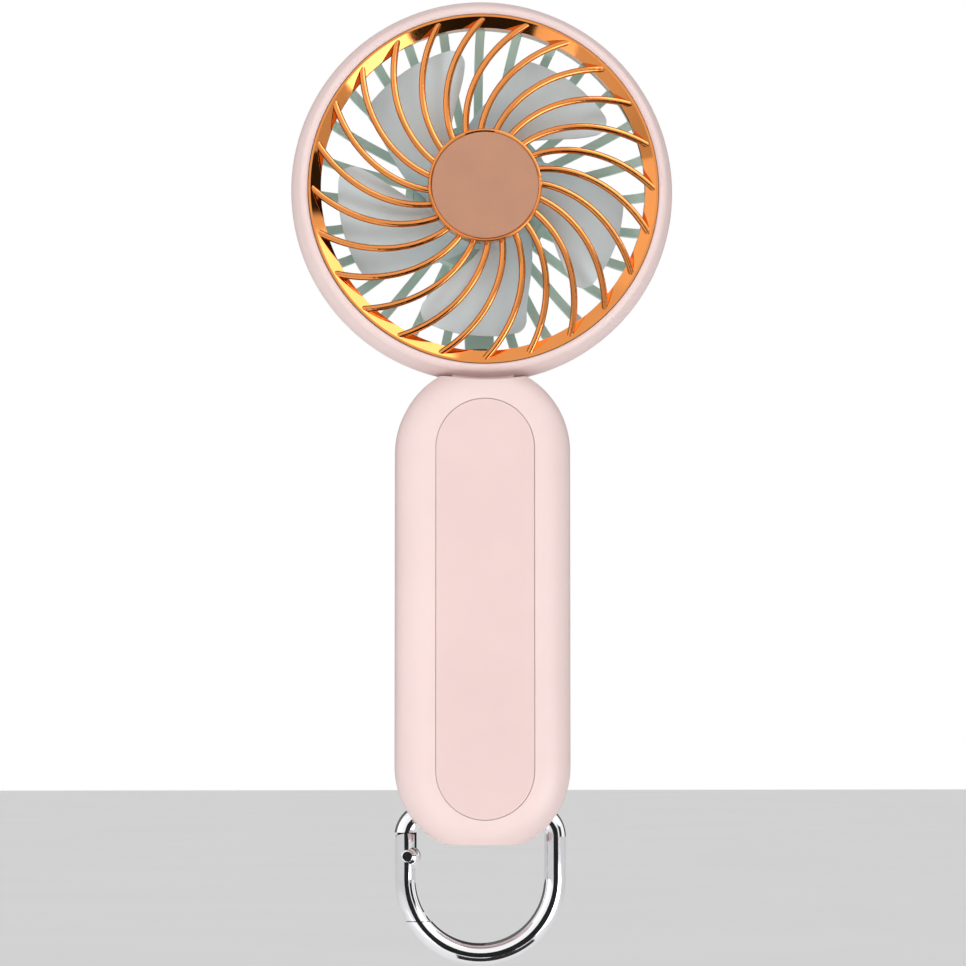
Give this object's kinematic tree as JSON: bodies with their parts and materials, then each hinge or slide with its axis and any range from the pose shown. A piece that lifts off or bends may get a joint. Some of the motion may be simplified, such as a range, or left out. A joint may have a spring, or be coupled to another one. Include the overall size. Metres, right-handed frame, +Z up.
{
  "type": "handheld electric fan",
  "caption": "Compact battery-powered handheld fan: round caged head on a fixed neck, capsule-shaped grip with an inlaid front panel, and a sprung snap hook at the bottom end.",
  "frame": {"origin": "centre of the flat bottom end of the handle", "axes": "+Z up along the handle to the head, -Y out of the front where the air leaves, +X to the right seen from the front"},
  "size_m": [0.0874, 0.029, 0.2203],
  "materials": {
    "pink_shell": "soft satin, moulded",
    "pink_panel": "fine satin, flat",
    "pink_button": "satin",
    "rose_gold_plating": "mirror plating on moulded plastic",
    "rose_gold_brushed": "satin, fine circular brushing",
    "sage_plastic": "satin, moulded",
    "grey_blade": "soft gloss, slightly milky",
    "hook_chrome": "polished nickel-chrome",
    "bright_steel": "ground steel",
    "screw_steel": "zinc-plated",
    "socket_steel": "drawn sheet",
    "nickel": "nickel strip",
    "cell_wrap": "shrink wrap, gloss",
    "foam": "closed-cell foam",
    "board_green": "solder mask",
    "black_plastic": "satin",
    "clear_lens": "clear, moulded",
    "magnet": "bonded magnet, dull",
    "lamination": "stacked sheet",
    "copper": "enamelled wire",
    "bearing_bronze": "sintered bronze",
    "lead_insulation": "soft insulation"
  },
  "bodies": {
    "housing": {"handle_front_shell": "pink_shell", "handle_rear_shell": "pink_shell", "front_panel": "pink_panel", "case_screws": "screw_steel", "battery_cell": "cell_wrap", "battery_contacts": "nickel", "battery_foam": "foam", "charge_board": "board_green", "usb_socket": "socket_steel", "switch_board": "board_green", "tact_switch": "black_plastic", "indicator_lens": "clear_lens", "indicator_leds": "clear_lens", "head_front_ring": "pink_shell", "head_rear_ring": "pink_shell", "front_grille": "rose_gold_plating", "hub_badge": "rose_gold_brushed", "rear_grille": "sage_plastic", "stator_core": "lamination", "motor_coils": "copper", "motor_base": "sage_plastic", "front_bearing": "bearing_bronze", "rear_bearing": "bearing_bronze", "motor_board": "board_green", "motor_screws": "screw_steel", "motor_leads": "lead_insulation", "battery_leads": "lead_insulation"},
    "rotor": {"impeller": "grey_blade", "motor_shaft": "bright_steel", "rotor_bell": "bright_steel", "rotor_magnet": "magnet"},
    "button": {"power_button": "pink_button", "switch_stem": "black_plastic"},
    "hook": {"carabiner_body": "hook_chrome"},
    "gate": {"carabiner_gate": "hook_chrome", "gate_pin": "hook_chrome", "gate_spring": "bright_steel"},
    "plunger": {"gate_plunger": "bright_steel"}
  },
  "joints": [
    {"name": "fan_spin", "type": "hinge", "parent": "housing", "child": "rotor", "pos_m": [0, 0, 0.1488], "axis": [0, -1, 0], "continuous": true},
    {"name": "button_press", "type": "slide", "parent": "housing", "child": "button", "axis": [0, -1, 0], "range_m": [0, 0.0005], "stiffness_N_per_m": 1200, "springref_m": -0.0005},
    {"name": "hook_swing", "type": "hinge", "parent": "housing", "child": "hook", "pos_m": [0, 0.0075, 0.0069], "axis": [1, 0, 0], "range_deg": [-15, 110]},
    {"name": "gate_open", "type": "hinge", "parent": "hook", "child": "gate", "pos_m": [-0.0168, 0.0075, -0.00295], "axis": [0, -1, 0], "range_deg": [0, 28], "stiffness_Nm_per_rad": 0.03, "springref_deg": -20.05},
    {"name": "plunger_slide", "type": "slide", "parent": "gate", "child": "plunger", "axis": [0, 0, -1], "range_m": [0, 0.00045], "deforming": ["gate_spring"]}
  ],
  "couplings": [
    {"joint": "plunger_slide", "follows": "gate_open", "m_per_rad": 0.00086}
  ]
}
